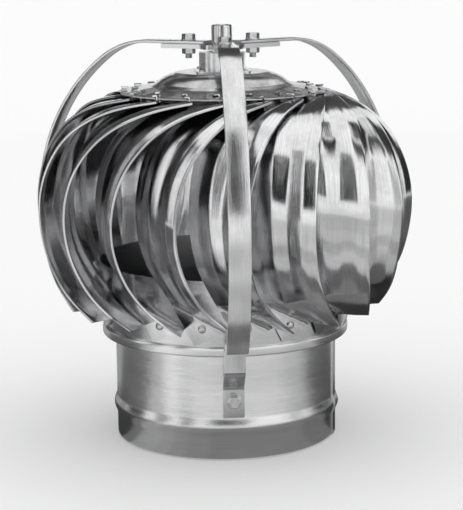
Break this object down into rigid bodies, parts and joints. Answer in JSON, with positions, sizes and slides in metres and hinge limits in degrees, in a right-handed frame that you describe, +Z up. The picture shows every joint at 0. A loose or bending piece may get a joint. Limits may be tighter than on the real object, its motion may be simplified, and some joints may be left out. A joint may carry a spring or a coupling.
{
  "type": "roof turbine ventilator",
  "caption": "Wind-driven chimney cowl: a globe-shaped rotor of curved overlapping vanes spins on a spindle that bent straps hold above a round flue collar.",
  "frame": {"origin": "centre of the flue collar's lower rim, where the flue ends", "axes": "+Z up along the spindle, away from the flue; -Y towards the front strap; +X to the right seen from the front"},
  "size_m": [0.2544, 0.27, 0.279],
  "materials": {
    "vane_steel": "bright rolled stainless sheet",
    "plate_steel": "pressed stainless sheet",
    "sleeve_steel": "rolled stainless sheet",
    "collar_steel": "rolled stainless sheet, brushed around",
    "strap_steel": "bright stainless flat bar",
    "housing_steel": "turned",
    "spindle_steel": "turned",
    "bearing_steel": "ground",
    "fastener_steel": "plated"
  },
  "bodies": {
    "base": {"base_collar": "collar_steel", "strap_front": "strap_steel", "strap_rear_right": "strap_steel", "strap_rear_left": "strap_steel", "spider_bracket": "strap_steel", "foot_bolts": "fastener_steel", "foot_washers": "fastener_steel", "foot_nuts": "fastener_steel", "strap_bolts": "fastener_steel", "strap_washers": "fastener_steel", "strap_nuts": "fastener_steel", "spindle": "spindle_steel", "spindle_washer": "fastener_steel", "spindle_nut": "fastener_steel", "bearing_inner_ring": "bearing_steel"},
    "rotor": {"bearing_housing": "housing_steel", "bearing_outer_ring": "bearing_steel", "rotor_top_plate": "plate_steel", "rotor_sleeve": "sleeve_steel", "vane_01": "vane_steel", "vane_02": "vane_steel", "vane_03": "vane_steel", "vane_04": "vane_steel", "vane_05": "vane_steel", "vane_06": "vane_steel", "vane_07": "vane_steel", "vane_08": "vane_steel", "vane_09": "vane_steel", "vane_10": "vane_steel", "vane_11": "vane_steel", "vane_12": "vane_steel", "vane_13": "vane_steel", "vane_14": "vane_steel", "vane_15": "vane_steel", "vane_16": "vane_steel", "vane_17": "vane_steel", "vane_18": "vane_steel"}
  },
  "joints": [
    {"name": "rotor_spin", "type": "hinge", "parent": "base", "child": "rotor", "pos_m": [0, 0, 0.25], "axis": [0, 0, 1], "continuous": true}
  ]
}
